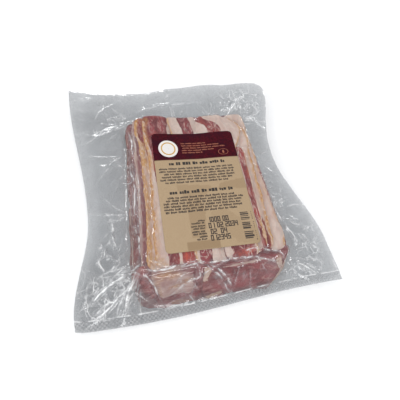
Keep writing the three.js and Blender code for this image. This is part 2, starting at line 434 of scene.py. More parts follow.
def bacon_material():
    """Raw streaky bacon: lean and fat in bands with ragged edges, and a smoked rind."""
    n = Nodes("bacon")
    grain = n.attribute("grain", "Vector")
    smoke = n.attribute("smoke")
    fibre = n.stretch(grain, (1.0, 0.30, 1.0))
    ragged = n.noise(fibre, 0.34, 4.0, 0.62, 0.5)
    fine = n.noise(fibre, 1.3)
    cloud = n.noise(n.stretch(grain, (1.0, 0.5, 1.0)), 0.10, 3.0, 0.6, 0.8)
    lean = n.ramp(n.attribute("lean") + (ragged - 0.5) * 1.1, 0.36, 0.64)
    veins = abs(n.noise(n.stretch(grain, (1.0, 0.42, 1.0)), 0.085, 3.0, 0.6, 1.6) - 0.5)
    marbled = n.ramp(veins, 0.008, 0.040, 1.0, 0.0) * n.attribute("marbling") * n.ramp(cloud, 0.40, 0.62)
    lean = lean * (1.0 - marbled)

    red = n.mix(n.ramp(cloud, 0.34, 0.66), colour(98, 18, 26), colour(142, 46, 52))
    red = n.mix(n.ramp(fine, 0.45, 0.8) * 0.3, red, colour(184, 112, 108))
    red = n.mix(n.attribute("rusty") * n.ramp(ragged, 0.25, 0.6), red, colour(184, 70, 48))
    fat = n.mix(n.ramp(cloud, 0.3, 0.7), colour(214, 193, 180), colour(196, 166, 153))
    fat = n.mix(n.ramp(fine, 0.5, 0.8) * 0.35, fat, colour(232, 216, 206))
    rind = n.mix(n.ramp(fine, 0.35, 0.65), colour(206, 158, 88), colour(168, 108, 58))
    body = n.mix(smoke * n.ramp(ragged, 0.22, 0.50), n.mix(lean, fat, red), rind)
    body = n.mix(n.attribute("dull") * n.ramp(cloud, 0.25, 0.75, 0.4, 1.0), body, colour(140, 98, 96))
    flecks = n.ramp(n.noise(fibre, 0.9, 2.0, 0.5), 0.56, 0.66) * n.ramp(smoke, 0.2, 0.8)
    return n.surface({
        "Base Color": n.mix(flecks * 0.75, body, colour(222, 202, 186)),
        "Roughness": 0.42,
        "Specular IOR Level": 0.15,
        "Subsurface Weight": 0.10,
        "Subsurface Radius": (3.0 * MM, 1.2 * MM, 0.9 * MM),
        "Normal": n.bump(ragged + fine * 0.5, 0.5, 0.5),
    })


def film_material():
    """Clear glossy pouch film: mostly see-through, with a grey haze where it is slack or doubled, and painted white
    highlights on its creases, crumples and seal edge.
    """
    n = Nodes("film")
    place = n.place()
    ripple = n.noise(place, 0.07, 2.0, 0.45, 0.6)
    warped = n.warp(place, 0.09, 5.0)
    coarse = n.ramp(n.cells(n.stretch(warped, (1.0, 0.55, 1.0)), 0.095), 0.0, 0.06, 1.0, 0.0)
    fine = n.ramp(n.cells(n.stretch(warped, (0.6, 1.0, 1.0)), 0.2), 0.0, 0.09, 0.4, 0.0)
    net = n.most(coarse, fine) * n.attribute("crinkle") * n.ramp(n.noise(place, 0.06, 2.0), 0.38, 0.6)
    crinkle = n.noise(place, 0.22, 2.0, 0.5, 1.0) * n.attribute("crinkle") + net
    hatch = n.add("TexChecker", "Fac", {"Vector": place, "Scale": 0.5}) * n.attribute("seal") * 0.25
    normal = n.bump(ripple + crinkle + hatch, 1.0, 0.45)

    # Painted highlight: the white lines on the creases, crumple ridges and seal edge, and the lines of the net, are
    # painted into the film's colour and haze.
    white = n.attribute("painted_glint") * n.ramp(n.noise(place, 0.55, 3.0, 0.6, 1.0), 0.28, 0.55, 0.35, 1.0)
    white = n.most(n.most(white, net * 0.62), hatch * 0.5)
    tone = n.mix(n.math("MULTIPLY", white, 2.0, clamp=True), colour(122, 123, 124), colour(255, 255, 255))
    n.surface({"Base Color": tone, "Roughness": 0.4, "Normal": normal})
    clear = n.add("BsdfTransparent", "BSDF", {"Color": colour(252, 253, 254)})
    share = n.math("ADD", n.attribute("haze"), white * 0.9, clamp=True)
    hazy = n.mix_shader(share, clear, Wire(n, n.shader.outputs["BSDF"]))

    gloss = n.add("BsdfGlossy", "BSDF", {"Color": (1, 1, 1, 1), "Roughness": 0.14, "Normal": normal})
    facing = n.add("LayerWeight", "Facing", {"Blend": 0.5, "Normal": normal})
    shine = n.math("ADD", 0.06, facing ** 5.0 * 0.94, clamp=True)
    n.put(n.tree.nodes["Material Output"].inputs["Surface"], n.mix_shader(shine, hazy, gloss))
    return n.material


def paper_material():
    """Coated label paper: tan with tone-on-tone facets, and a burgundy header."""
    n = Nodes("label_paper")
    place = n.place()
    speckle = n.noise(place, 1.4, 4.0, 0.7)
    tan = n.mix(n.ramp(speckle, 0.3, 0.7), colour(164, 141, 112), colour(178, 155, 126))
    tan = n.mix(n.attribute("shade") * 0.9, tan, colour(138, 114, 86))
    wine = n.mix(n.ramp(n.noise(place, 0.5, 4.0, 0.7, 1.0), 0.35, 0.7), colour(44, 2, 10), colour(86, 6, 26))
    wine = n.mix(n.ramp(n.noise(place, 0.09), 0.4, 0.7), wine, colour(52, 4, 22))
    return n.surface({
        "Base Color": n.mix(n.attribute("header"), tan, wine),
        "Roughness": 0.55,
        "Specular IOR Level": 0.1,
        "Normal": n.bump(speckle, 0.12, 0.4),
    })


def ink_material():
    """Printed marks, each with its own colour, worn a little by the paper's grain."""
    n = Nodes("label_ink")
    worn = n.ramp(n.noise(n.place(), 2.2, 3.0, 0.7), 0.45, 0.8, 0.0, 0.3)
    ink = n.mix(worn, n.attribute("ink", "Vector"), colour(160, 136, 110))
    return n.surface({"Base Color": ink, "Roughness": 0.5})


def floor_material():
    n = Nodes("pale_floor")
    pale = n.mix(n.noise(n.place(), 0.004, 2.0), colour(250, 250, 250), colour(253, 253, 253))
    return n.surface({"Base Color": pale, "Roughness": 0.7})


# ---- the bacon slices

SLICE_THICKNESS = 2.6
CEILING_GAP = 0.8
FLOOR_GAP = 0.8
REST_GAP = 0.25
EDGE_LINES = (0.35 / 48, 1 / 48)
DRAPE_GROWTH = 4.0
DRAPE_SOFTNESS = 1.9

ceiling = cad_top.blurred(2.0)
ceiling = ceiling.like(ceiling.values - CEILING_GAP)
bacon = bacon_material()


PLAIN_LOOKS = {
    "smoke": 0.8, "smoke_reach": 2.4, "skin": 1.0, "skin_width": (1.7, 1.7), "rusty": 0.0, "marbling": 0.6,
    "dull": 0.0, "waviness": 0.9, "frill": 0.3, "end_radius": 9.0, "deepest": 99.0, "crosswise": False,
    "patches": (), "rows": 150, "columns": 40, "seed": 1,
}


class Slice:
    """One slice, long in Y. Its rind side is "left" or "right"; edges are (y, x) points.

    far_bands and near_bands are the places across the slice, in millimetres from its rind, where
    fat gives way to lean and lean to fat, starting with fat; they change smoothly along it.
    """

    def __init__(self, left, right, near, far, rind, far_bands, near_bands=None, **looks):
        self.left, self.right, self.near, self.far, self.rind = left, right, near, far, rind
        self.far_bands, self.near_bands = far_bands, near_bands or far_bands
        vars(self).update(PLAIN_LOOKS | looks)

    def edges(self, y):
        seed, radius = self.seed, self.end_radius
        left, right = (
            along_curve(y, line) + self.waviness * layered_noise(y, wave * seed, 17, seed + 40 * side)
            + self.frill * noise(y, curl * seed, 3.4, seed + 70 + side)
            for side, line, wave, curl in ((0, self.left, 3.7, 2.3), (1, self.right, 9.1, 6.7)))
        inside = np.clip(radius - np.minimum(y - self.near, self.far - y), 0, radius)
        inset = radius - np.sqrt(np.maximum(radius**2 - inside**2, 0))
        inset = np.minimum(inset, 0.5 * (right - left) - 0.5)
        return left + inset, right - inset

    def plan(self):
        """Plan points on a grid that is denser near the edges, and their distance from the outline."""
        across, along = lines_between(self.columns)[None], lines_between(self.rows)[:, None]
        length = self.far - self.near
        y = self.near + length * along
        left, right = self.edges(y)
        x = left + (right - left) * across
        ragged_near = layered_noise(x, 5.3 * self.seed, 21, self.seed + 80) * smooth(1 - along * 6)
        ragged_far = layered_noise(x, 7.9 * self.seed, 21, self.seed + 90) * smooth(6 * along - 5)
        from_side = np.minimum(across, 1 - across) * (right - left)
        from_end = np.minimum(along, 1 - along) * length
        return x, y + 1.2 * self.waviness * (ragged_near + ragged_far), np.minimum(from_side, from_end)

    def mask(self, field):
        x, y = field.mesh()
        left, right = self.edges(np.clip(y[:, 0], self.near, self.far))
        inside = (y >= self.near) & (y <= self.far) & (x >= left[:, None]) & (x <= right[:, None])
        return inside.astype(float)

    def lean(self, x, y):
        """1 in lean, 0 in fat; the distance from the rind; and the share of the way to the far end."""
        from_rind = x - along_curve(y, self.left) if self.rind == "left" else along_curve(y, self.right) - x
        share = smooth((y - self.near) / (self.far - self.near))
        wander = 1.6 * noise(x, y, 34, self.seed + 11) + 0.7 * noise(x, y, 11, self.seed + 12)
        depth = from_rind + wander * smooth(from_rind / 6)
        lean = np.zeros_like(x)
        for k, (far, near) in enumerate(zip(self.far_bands, self.near_bands)):
            step = smooth(0.5 + (depth - blend(near, far, share)) / 1.6)
            lean = blend(lean, 1.0 - (k % 2), step)
        return lean, from_rind, share

    def build(self, top, thickness=None):
        """The mesh parts of this slice; its top and its thickness are functions of plan points."""
        x, y, inside = self.plan()
        seed = self.seed
        thickness = thickness(x, y) if thickness else SLICE_THICKNESS
        edge = np.sqrt(1 - (1 - np.clip(inside, 0, 1)) ** 2)
        relief = 0.25 * layered_noise(x, y, 13, seed + 5) * smooth(inside / 3)
        middle = top(x, y) - thickness / 2 + relief
        upper = np.stack([x, y, np.maximum(middle + thickness / 2 * edge, 2 * REST_GAP)], -1)
        lower = np.stack([x, y, np.maximum(middle - thickness / 2 * edge, REST_GAP)], -1)
        points, faces = closed_sheet(upper, lower)
        lean, from_rind, share = self.lean(x, y)
        width = blend(self.skin_width[1], self.skin_width[0], share)
        width = width * np.clip(1 + 0.55 * noise(0.3 * x, y, 11, seed + 61), 0.4, 1.7)
        skin = self.skin * smooth(1.5 - np.abs(from_rind) / width)
        stain = smooth(1 - from_rind / self.smoke_reach) * smooth(0.6 + 1.2 * noise(x, 0.3 * y, 6, seed + 21))
        values = {
            "lean": lean * (1 - skin),
            "smoke": self.smoke * np.maximum(skin, stain),
            "rusty": self.rusty * smooth(0.5 + noise(x, y, 19, seed + 33)),
            "marbling": np.full_like(x, self.marbling),
            "dull": np.full_like(x, self.dull),
        }
        ragged = 0.5 * layered_noise(x, y, 9, seed + 51, 4)
        for (px, py), (hx, hy), turn, looks in self.patches:
            c, s = math.cos(math.radians(turn)), math.sin(math.radians(turn))
            reach = np.hypot((c * (x - px) + s * (y - py)) / hx, (c * (y - py) - s * (x - px)) / hy)
            weight = smooth((1.25 - reach + ragged) / 0.7)
            for key, value in looks.items():
                values[key] = blend(values[key], value, weight)
        values = {key: twice(data) for key, data in values.items()}
        along, across = (0.9 * x, 1.5 * y) if self.crosswise else (y, x)
        grain = np.stack([across, along, np.full_like(x, 31.0 * seed)], -1).reshape(-1, 3)
        values["grain"] = np.concatenate([grain, grain + [0, 0, SLICE_THICKNESS]])
        return points, faces, values


def lines_between(count):
    """Grid lines from 0 to 1, closer together at both ends, where a slice's edge is rounded."""
    first, second = EDGE_LINES
    return np.concatenate([[0, first], np.linspace(second, 1 - second, count - 3), [1 - first, 1]])


def join_parts(name, parts):
    """One mesh object of several slices."""
    points, faces, values = zip(*parts)
    firsts = np.cumsum([0] + [len(p) for p in points])
    faces = np.concatenate([f + first for f, first in zip(faces, firsts)])
    values = {key: np.concatenate([v[key] for v in values]) for key in values[0]}
    piece = add_mesh(name, np.concatenate(points), faces, values)
    piece.data.materials.append(bacon)
    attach(piece, BODY)
    return piece


# Slices that show at the block's near end and in its gaps, lowest first
UNDER_SLICES = [
    # Left side, under the rest
    Slice([(-112, -75), (-86, -72), (-36, -68.5), (-5, -67), (29, -66), (67, -66.5), (82, -64)],
          [(-112, 10), (82, 10)], -112, 83, "left", (2.6, 26, 34), (2.0, 26, 34), skin=0.15, smoke=0.2,
          marbling=0.9, dull=0.75, seed=21),
    # Right side, under the rest
    Slice([(-112, -8), (82, -8)], [(-112, 84), (-60, 82), (0, 81), (40, 82.5), (80, 81)], -111, 81, "right",
          (-1, 18, 30), skin=0.2, smoke=0.4, marbling=0.7, seed=22,
          patches=[((62, 76), (18, 8), 0, {"lean": 0.0})]),
    # Near end, lowest at the left
    Slice([(-143, -74), (-125, -83), (-105, -84)], [(-143, -10), (-105, -6)], -142, -104, "left", (0.5, 100),
          smoke=0.3, smoke_reach=3, marbling=0.5, skin=0.2, end_radius=7, waviness=2.2, deepest=3.2, rows=60,
          columns=70, seed=11, crosswise=True, dull=0.3,
          patches=[((-36, -140), (12, 1.5), 0, {"smoke": 0.4})]),
    # Near end, lean, at the right
    Slice([(-142, -17), (-128, -15), (-110, -12)], [(-142, 58), (-134, 68), (-126, 77), (-110, 86)], -141.5,
          -104, "right", (2.5, 120), smoke=0.5, smoke_reach=4, marbling=0.5, skin=0.5, end_radius=7,
          waviness=2.2, deepest=3.2, rows=70, columns=90, seed=9, crosswise=True, dull=0.3,
          patches=[((-11, -121), (7, 5), 30, {"lean": 0.2, "smoke": 0.25}),
                   ((-4, -139.5), (13, 1.6), 8, {"lean": 0.2, "smoke": 0.6}),
                   ((30, -118), (26, 1.5), 2, {"lean": 0.3}),
                   ((72, -122), (10, 4), -50, {"lean": 0.4, "smoke": 0.2})]),
    # Near end, fat, at the left
    Slice([(-138, -62), (-124, -64), (-106, -66)], [(-138, -30), (-130, -22), (-122, -24), (-106, -18)], -133,
          -104, "left", (60, 70), smoke=0.3, smoke_reach=4, skin=0.5, end_radius=8, waviness=2.6, deepest=2.6,
          rows=60, columns=50, seed=10, crosswise=True, dull=0.8,
          patches=[((-50, -117), (12, 4), 0, {"smoke": 0.9, "lean": 0.3}),
                   ((-38, -126), (13, 1.6), 12, {"smoke": 0.8, "lean": 0.5}),
                   ((-28, -114), (12, 6), -10, {"lean": 0.9}),
                   ((-22, -128), (6, 5), 0, {"lean": 0.6}), ((-60, -128), (3, 9), 10, {"smoke": 0.5, "lean": 0.4})]),
]

# Slices that lie open to the film, lowest first, as they lie one on another
TOP_SLICES = [
    # Right edge
    Slice([(-112, 26), (80, 30)],
          [(-112, 80), (-101, 80), (-91, 84), (-82, 81), (-60, 78.5), (0, 77.5), (40, 80), (80, 79)],
          -110, 80, "right", (24, 30, 36), (17, 24, 33), smoke=1.0, smoke_reach=4,
          skin_width=(1.8, 3.0), frill=1.0, seed=3, patches=[((78.5, -34), (5, 36), 0, {"smoke": 0.15})]),
    # Next to it
    Slice([(-112, 14), (80, 20)],
          [(-112, 64), (-100, 66.5), (-77, 67), (-52, 69), (-5, 71), (17, 72.5), (45, 76), (57, 74),
           (70, 62)],
          -109, 76, "right", (26, 34, 40, 48), (3.5, 13, 18, 30), smoke=1.0, smoke_reach=6,
          skin_width=(2.2, 2.8), rusty=0.3, frill=0.9, seed=4),
    # Short slice beside the label
    Slice([(-112, 12), (40, 16)],
          [(-112, 57), (-100, 59.5), (-77, 60.5), (-52, 61.5), (-25, 62.5), (0, 64), (14, 65), (34, 60)],
          -111, 31, "right", (1.2, 9), (2.0, 8), smoke=0.35, smoke_reach=4, skin=0.4, skin_width=(1.2, 1.8),
          rusty=0.5, marbling=0.9, frill=1.0, end_radius=14, seed=23,
          patches=[((58, -96), (2.2, 20), 4, {"smoke": 0.9, "lean": 0.1})]),
    # Left edge
    Slice([(-110, -69), (-86, -66), (-36, -62), (-5, -61), (29, -60), (67, -63), (80, -60)],
          [(-110, -18), (80, -14)], -111, 83, "left", (1.5, 22, 27), (24, 30, 36), smoke=1.0, smoke_reach=15,
          skin_width=(1.3, 3.2), seed=5, patches=[((-57, 76), (8, 13), 10, {"lean": 1.0}),
          ((-58, 24), (5, 17), 2, {"smoke": 0.9, "lean": 0.0}), ((-60, -34), (5, 22), 2, {"smoke": 0.8}),
          ((-64, -84), (4, 24), 4, {"smoke": 0.9})]),
    # Next to it
    Slice([(-110, -61), (-87, -58.5), (-36, -55), (-6, -53), (29, -51.5), (60, -54), (80, -50)],
          [(-110, -8), (80, -6)], -110, 87, "left", (1.0, 30, 34), (14, 24, 27, 40), smoke=1.0, smoke_reach=8,
          rusty=0.2, marbling=0.5, seed=6, skin_width=(2.2, 2.4),
          patches=[((-26, -104), (8, 7), 20, {"rusty": 1.0}), ((-52, -106), (3, 7), 30, {"smoke": 0.5}),
          ((-44, 80), (14, 9), 0, {"lean": 1.0, "smoke": 0.0}), ((-49, 72), (4, 4), 0, {"smoke": 0.5})]),
    # Middle
    Slice([(-112, -20), (50, -19), (64, -21), (82, -23)], [(-112, 24), (82, 30)], -113, 82, "left",
          (14, 28, 37), (5, 17, 30), smoke=0.8, smoke_reach=3, marbling=0.8, seed=7),
    # Middle right
    Slice([(-112, 11), (0, 8), (82, 16)],
          [(-112, 47), (-40, 46), (24, 56), (33, 62), (43, 67), (54, 70), (64, 66), (75, 50)], -114, 81,
          "right", (27, 44, 50), (3, 35), smoke=0.9, smoke_reach=4, rusty=0.35, marbling=1.0, seed=8,
          patches=[((36, -108), (14, 4), 6, {"rusty": 1.0}), ((14, -104), (5, 9), 20, {"lean": 0.1})]),
]

LAYER_PITCH = 2.75
LAYER_GAP = 0.25
LAYER_ROWS = 9
# Room for a layer: the CAD's depth there, the least height, and the cells that a row of it needs
ROOM_DEPTH, ROOM_HEIGHT, ROOM_CELLS = 4.0, 2.0, 100
# Where the three columns of each layer start and end, as shares of the block's width
LOW_COLUMNS = ((0.0, 0.40), (0.30, 0.72), (0.62, 1.0))
# The block's level part: at least this high, and this little below the highest place within reach
LEVEL_HEIGHT = 10.0
LEVEL_REACH = 8.0
LEVEL_DROP = 2.5
CARRY_STEPS = 8
CARRY_REACH = 5


def lay_open_slices():
    """Builds the slices that show under the ceiling, highest first, each sunk below those on it."""
    buried = np.zeros_like(ceiling.values)
    parts = []
    for item in reversed(UNDER_SLICES + TOP_SLICES):
        top = ceiling.like(ceiling.values - np.minimum(buried, item.deepest))
        parts.append(item.build(top))
        footprint = blur(spread(item.mask(ceiling), DRAPE_GROWTH), DRAPE_SOFTNESS)
        buried = buried + SLICE_THICKNESS * footprint
    return parts, buried


def stack_top(buried):
    """The top of the low stack: under the open slices, and carried out level past the sloping sides."""
    height = ceiling.values
    level = (height > LEVEL_HEIGHT) & (height >= spread(height, LEVEL_REACH) - LEVEL_DROP)
    top = np.where(level, height - buried, 0.0)
    for _ in range(CARRY_STEPS):
        top = np.where(top > 0, top, spread(top, CARRY_REACH))
    return ceiling.like(blur(top, 2.5) - LAYER_GAP)


def row_ends(free, rows):
    """The first and last free place in X of each row."""
    left = np.array([ceiling.xs[np.argmax(row)] for row in free[rows]])
    right = np.array([ceiling.xs[len(row) - 1 - np.argmax(row[::-1])] for row in free[rows]])
    return left, right


def lay_low_slices(buried):
    """Fills the block below the open slices with layers that share out the height there."""
    room = np.where(cad_depth > ROOM_DEPTH, ceiling.values - buried, 0.0)
    stack = stack_top(buried)
    count = int(round((np.median(stack.values[room > LEVEL_HEIGHT]) - FLOOR_GAP) / LAYER_PITCH))
    rng = np.random.default_rng(12)
    parts = []
    for layer in range(count):
        share = (layer + 1) / count
        free = (room > ROOM_HEIGHT) & (room >= FLOOR_GAP + share * (stack.values - FLOOR_GAP) - 0.5)
        rows_free = np.where(free.sum(1) > ROOM_CELLS)[0]
        near, far = ceiling.ys[rows_free[0]] + 2, ceiling.ys[rows_free[-1]] - 2
        stations = np.linspace(near, far, LAYER_ROWS)
        rows = np.clip(np.searchsorted(ceiling.ys, stations), rows_free[0] + 6, rows_free[-1] - 6)
        left, right = row_ends(free, rows)
        width = right - left

        def top(x, y, share=share):
            return FLOOR_GAP + share * (stack(x, y) - FLOOR_GAP)

        def thickness(x, y):
            return (stack(x, y) - FLOOR_GAP) / count - LAYER_GAP

        for column, (start, end) in enumerate(LOW_COLUMNS):
            shift = rng.uniform(-2.5, 2.5, 2)
            slice_left = left + start * width + (rng.uniform(0.4, 2.4) if column == 0 else shift[0])
            slice_right = left + end * width - (rng.uniform(0.4, 2.4) if column == 2 else shift[1])
            first = -1.0 if rng.random() < 0.7 else rng.uniform(2, 5)
            smoked = rng.random() < 0.3 and (column != 0 or layer < 3)
            if column == 0:
                first = 3.0 if layer == count - 1 else -1.0
            bands = first + np.cumsum([0, rng.uniform(8, 18), rng.uniform(3, 9), rng.uniform(8, 20)])
            item = Slice(list(zip(stations, slice_left)), list(zip(stations, slice_right)),
                         near + rng.uniform(0, 3), far - rng.uniform(0, 3), "right" if column else "left",
                         tuple(bands), tuple(bands + rng.uniform(-3, 3, 4)), dull=0.2 if column else 0.45,
                         smoke=0.8 if smoked else 0.25, skin=1.0 if smoked else 0.15, marbling=0.7,
                         waviness=1.4, rows=70, columns=20, seed=100 + 10 * layer + column)
            parts.append(item.build(top, thickness))
    return parts


open_parts, buried_depth = lay_open_slices()
bacon_pieces = [
    join_parts("bacon_slices_top", open_parts[:len(TOP_SLICES)]),
    join_parts("bacon_slices_under", open_parts[len(TOP_SLICES):]),
    join_parts("bacon_slices_low", lay_low_slices(buried_depth)),
]


# ---- the film

FILM_COLUMNS = 300
FILM_ROWS = 320
UNDER_COLUMNS = 140
UNDER_ROWS = 150
FILM_GAP = 0.45
FLANGE_GAP = 0.35
FLANGE_THICKNESS = 1.2
BLOCK_DEPTH = 7.0
SEAL_DEPTH = 9.5
LABEL_MARGIN = 3.0

# Creases of the slack film: plan points, height and width of the ridge
CREASES = [
    ([(-126, 58), (-110, 66), (-91, 76), (-72, 83)], 0.8, 1.6),
    ([(-111, 95), (-102, 110), (-82, 124)], 0.6, 1.4),
    ([(-89, 116), (-79, 106), (-68, 87)], 0.6, 1.4),
    ([(-57, 105), (-23, 115), (34, 118)], 0.8, 1.6),
    ([(97, 130), (80, 109), (60, 84)], 1.6, 1.5),
    ([(73, 88), (98, 82), (116, 63)], 1.2, 1.4),
    ([(-110, 6), (-95, 27), (-76, 43)], 0.7, 2.4),
    ([(-92, -8), (-83, 11), (-74, 22)], 0.6, 1.4),
    ([(-98, -46), (-99, -60), (-97, -76)], 1.4, 1.2),
    ([(-80, -104), (-94, -108), (-109, -117), (-128, -130)], 1.8, 1.4),
    ([(-78, -112), (-88, -121), (-92, -134), (-94, -148)], 1.5, 1.4),
    ([(-86, -116), (-104, -132), (-116, -141), (-134, -148)], 1.2, 1.6),
    ([(97, -37), (87, -57), (95, -77), (106, -106)], 1.8, 1.7),
    ([(111, -88), (120, -104), (129, -113)], 1.0, 1.4),
    ([(89, -119), (103, -130), (118, -140)], 1.3, 1.4),
    ([(138, -121), (140, -141), (123, -144)], 0.8, 1.6),
    ([(-11, -113), (-2, -124), (13, -139)], 1.9, 1.2),
    ([(-6, -113), (4, -124), (19, -138)], 1.4, 1.0),
    ([(-82, -98), (-74, -107), (-60, -112), (-44, -113), (-28, -109), (-12, -111)], 1.5, 1.2),
    ([(-84, -104), (-76, -112), (-66, -118)], 1.3, 1.0),
    ([(20, -110), (36, -106), (52, -108), (66, -112), (82, -122)], 1.3, 1.1),
    ([(-68, -96), (-60, -104), (-52, -110)], 0.9, 1.0),
    ([(-76, -58), (-73, -74), (-74, -92)], 1.4, 1.1),
    ([(-74, 20), (-71, -6), (-72, -30), (-75, -52)], 1.3, 1.1),
    ([(-70, 68), (-68, 46), (-70, 26)], 1.3, 1.1),
    ([(-67, 10), (-66, -14), (-68, -40), (-71, -70)], 1.1, 1.0),
    ([(-65, 60), (-64, 40), (-66, 20)], 0.9, 1.0),
    ([(82, 40), (84, 12), (83, -20), (86, -52), (88, -80)], 1.0, 1.1),
    ([(-21, -110), (-18, -126)], 1.5, 1.1),
    ([(-53, -136), (-32, -127), (-12, -121), (9, -113)], 1.1, 1.1),
    ([(-74, -107), (-66, -121), (-58, -137)], 1.4, 1.2),
    ([(-60, -108), (-40, -112), (-16, -112), (10, -113), (36, -114), (63, -121), (84, -134)], 1.3, 1.5),
    ([(-64, -113), (-50, -103), (-44, -98)], 0.9, 1.0),
    ([(-62, -52), (-54, -47), (-47, -42)], 0.6, 0.9),
    ([(-54, -82), (-50, -78), (-46, -74)], 0.5, 0.9),
    ([(-82, 2), (-72, -8), (-64, -12)], 0.7, 1.0),
    ([(-90, 30), (-78, 20), (-68, 14)], 0.8, 1.0),
]

# Fans of fine tension creases: start, directions in degrees, lengths, number and strength
FANS = [
    ((-76, -106), (172, 262), (18, 62), 19, 1.0),
    ((-72, 84), (95, 200), (16, 50), 9, 0.4),
    ((80, 82), (-12, 95), (18, 64), 15, 0.8),
    ((84, -114), (-95, 12), (18, 56), 13, 0.8),
    ((-30, -112), (235, 300), (14, 34), 7, 0.8),
    ((30, -114), (240, 300), (14, 32), 6, 0.8),
    ((-76, 30), (150, 215), (12, 46), 6, 0.5),
    ((-82, -40), (150, 215), (12, 44), 7, 0.7),
    ((-8, 88), (55, 125), (12, 44), 6, 0.55),
    ((84, 10), (-35, 40), (12, 44), 8, 0.7),
    ((88, -60), (-40, 30), (14, 48), 8, 0.8),
    ((79, 28), (-60, 40), (5, 14), 7, 0.7),
    ((79, -6), (-60, 40), (5, 14), 8, 0.7),
    ((80, -44), (-60, 40), (5, 14), 8, 0.7),
]
FAN_SPREAD = 9.0

# Places where the film is crumpled: centre, half sizes and strength
CRUMPLES = [
    ((92, 118), (44, 30), 0.75),
    ((60, 104), (40, 18), 0.5),
    ((-106, -84), (17, 20), 1.0),
    ((-114, -122), (20, 26), 0.9),
    ((118, -96), (20, 26), 0.6),
    ((104, -124), (26, 18), 0.6),
    ((-84, 86), (26, 22), 0.25),
    ((-88, -118), (16, 22), 0.6),
    ((100, -20), (14, 50), 0.35),
]
CREASE_GAIN = 1.5
CRUMPLE_CELL = 10.0
CRUMPLE_HEIGHT = 2.0
# The haze of the flange and of tight film, and what a gap over the slices, the seal and crumples add
FLANGE_HAZE, TIGHT_HAZE, GAP_HAZE, SEAL_HAZE, CRUMPLE_HAZE = 0.27, 0.04, 0.20, 0.12, 0.03
UNDER_HAZE = 0.25
FILM_FLOOR = 0.05


def distance_to_line(x, y, line):
    """Distance from plan points to a line, and the nearest point's share of its length."""
    lengths = np.r_[0, np.cumsum([math.dist(a, b) for a, b in zip(line, line[1:])])]
    best = np.full(x.shape, 1e9)
    share = np.zeros(x.shape)
    for (ax, ay), (bx, by), start, end in zip(line, line[1:], lengths, lengths[1:]):
        t = np.clip(((x - ax) * (bx - ax) + (y - ay) * (by - ay)) / (end - start) ** 2, 0, 1)
        d = np.hypot(x - ax - t * (bx - ax), y - ay - t * (by - ay))
        share = np.where(d < best, (start + t * (end - start)) / lengths[-1], share)
        best = np.minimum(best, d)
    return best, share


def direction(turn):
    return np.array([math.cos(turn), math.sin(turn)])


def fan_creases():
    """Fine creases that run out from the block, each a slightly bent line with its height and width."""
    rng = np.random.default_rng(31)
    lines = []
    for (cx, cy), (low, high), (short, long), count, strength in FANS:
        for turn in np.radians(np.linspace(low, high, count) + rng.uniform(-7, 7, count)):
            start = rng.uniform(-FAN_SPREAD, FAN_SPREAD, 2) + (cx, cy) + 4 * direction(turn)
            reach, bend = rng.uniform(short, long), rng.uniform(-0.35, 0.35)
            line = [start + reach * share * direction(turn + bend * share) for share in (0, 0.35, 0.7, 1.0)]
            lines.append((line, strength * rng.uniform(0.35, 1.1), rng.uniform(0.8, 1.5)))
    return lines


def crease_relief(x, y):
    wx = x + 1.3 * noise(x, y, 12, 61)
    wy = y + 1.3 * noise(x, y, 12, 62)
    relief = np.zeros_like(x)
    white = np.zeros_like(x)
    broken = smooth(0.72 + 0.8 * noise(x, y, 7, 68))
    for line, height, width in CREASES + fan_creases():
        d, share = distance_to_line(wx, wy, line)
        fade = np.sqrt(np.clip(np.sin(np.pi * np.clip(share, 0.02, 0.98)), 0, 1))
        relief += CREASE_GAIN * height * fade * np.exp(-((d / width) ** 1.3))
        # Painted highlight: a white line along each crease, and a fainter one beside it.
        line_glint = np.exp(-((d / 0.95) ** 2)) + 0.35 * np.exp(-(((d - 2.6) / 0.7) ** 2))
        white = np.maximum(white, min(0.8, 0.55 * height) * fade * broken * line_glint)
    return relief, white


def crumple_relief(x, y):
    weight = np.zeros_like(x)
    for (cx, cy), (hx, hy), strength in CRUMPLES:
        reach = np.hypot((x - cx) / hx, (y - cy) / hy)
        weight = np.maximum(weight, strength * smooth(1.3 - reach))
    wx = x + 3 * noise(x, y, 18, 63)
    wy = y + 3 * noise(x, y, 18, 64)
    first, second = facets(wx, 0.6 * wy, CRUMPLE_CELL, 65)
    small, small_second = facets(0.7 * wx, wy, CRUMPLE_CELL * 0.42, 66)
    ridges = np.exp(-(((second - first) / 0.16) ** 2)) + 0.45 * np.exp(-(((small_second - small) / 0.2) ** 2))
    folded = 0.6 * (first - 0.45) + 0.25 * (small - 0.45) + 0.45 * ridges
    ragged = smooth(0.35 + 0.9 * noise(wx, wy, 9, 69))
    # Painted highlight: white lines along the crumples' ridges.
    white = weight * ragged * np.exp(-(((second - first) / 0.14) ** 2))
    return CRUMPLE_HEIGHT * weight * folded, weight, white


def content_field():
    """The highest bacon at each plan point, and 0 where there is none."""
    points, polygons = [], []
    for piece in bacon_pieces:
        first = len(points)
        points += [v.co / MM for v in piece.data.vertices]
        polygons += [tuple(v + first for v in p.vertices) for p in piece.data.polygons]
    tree = BVHTree.FromPolygons(points, polygons)
    (left, near, _), (right, far, _) = np.min(points, 0), np.max(points, 0)
    values = np.zeros_like(ceiling.values)
    for j in np.where((ceiling.ys > near) & (ceiling.ys < far))[0]:
        for i in np.where((ceiling.xs > left) & (ceiling.xs < right))[0]:
            hit = tree.ray_cast((ceiling.xs[i], ceiling.ys[j], RAY_HEIGHT), (0, 0, -1))[0]
            values[j, i] = hit.z if hit else 0.0
    return ceiling.like(values)


content = content_field()
# The least height of the upper film over the slices, and where the lower film lies flat under them
over_content = content.like(spread(content.values, 1.5) + 0.12)
tucked = content.like(smooth(1.6 * blur(spread((content.values > 0).astype(float), 3.5), 1.2)))
block_share = cad_top.like(smooth((cad_depth - 1.6) / BLOCK_DEPTH)).blurred(1.5)


